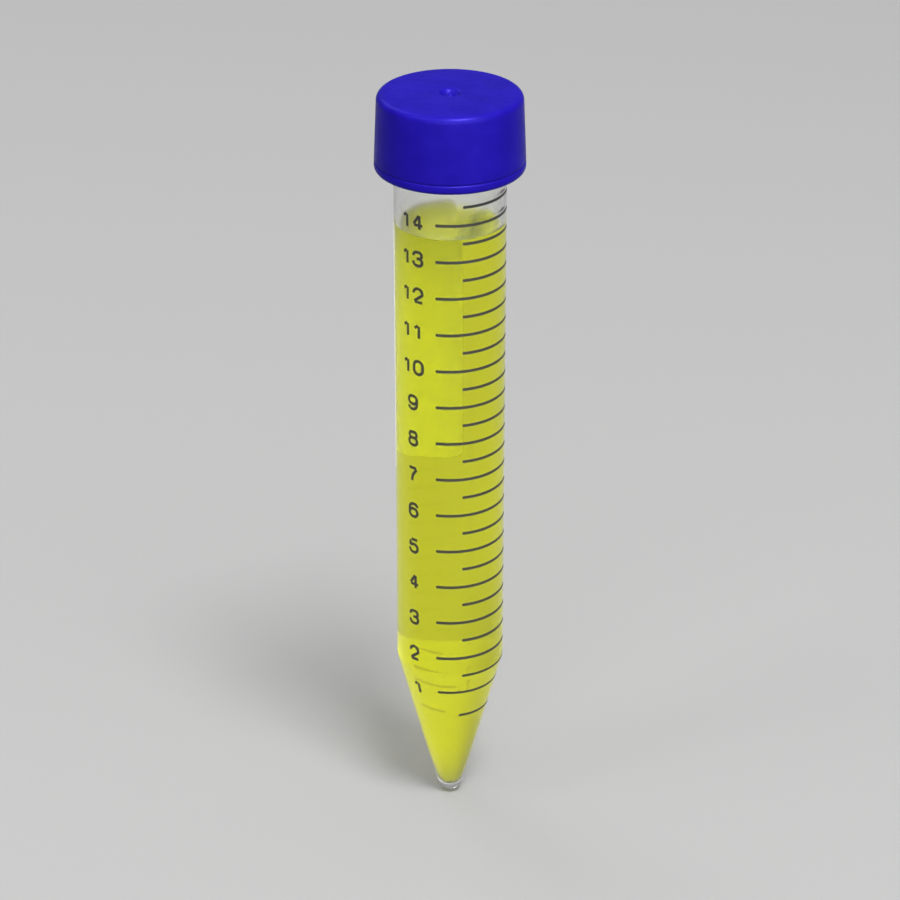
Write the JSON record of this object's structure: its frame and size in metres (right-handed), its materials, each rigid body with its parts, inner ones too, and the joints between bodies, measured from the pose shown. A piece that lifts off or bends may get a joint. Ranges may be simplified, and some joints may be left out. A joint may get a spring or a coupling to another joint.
{
  "type": "conical centrifuge tube",
  "caption": "Clear graduated 15 mL tube with a conical end, a smooth blue screw cap that seals with a plug liner, and a yellow liquid sample inside.",
  "frame": {"origin": "outside of the conical end's rounded tip, on the tube's axis", "axes": "+Z along the tube's axis, from the conical tip to the cap; the numerals and graduations face -Y and +X"},
  "size_m": [0.0226, 0.0226, 0.118],
  "materials": {
    "clear_plastic": "gloss",
    "yellow_liquid": "gloss",
    "natural_polyethylene": "satin",
    "blue_polyethylene": "satin",
    "black_ink": "satin",
    "white_ink": "matte"
  },
  "bodies": {
    "tube": {"tube_body": "clear_plastic", "sample_liquid": "yellow_liquid"},
    "seal": {"plug_seal": "natural_polyethylene"},
    "cap": {"screw_cap": "blue_polyethylene"}
  },
  "joints": [
    {"name": "cap_rise", "type": "slide", "parent": "tube", "child": "seal", "axis": [0, 0, 1], "range_m": [0, 0.0136]},
    {"name": "cap_turn", "type": "hinge", "parent": "seal", "child": "cap", "pos_m": [0, 0, 0.1121], "axis": [0, 0, 1], "range_deg": [0, 1620]}
  ],
  "couplings": [
    {"joint": "cap_rise", "follows": "cap_turn", "m_per_rad": 0.00047746}
  ]
}
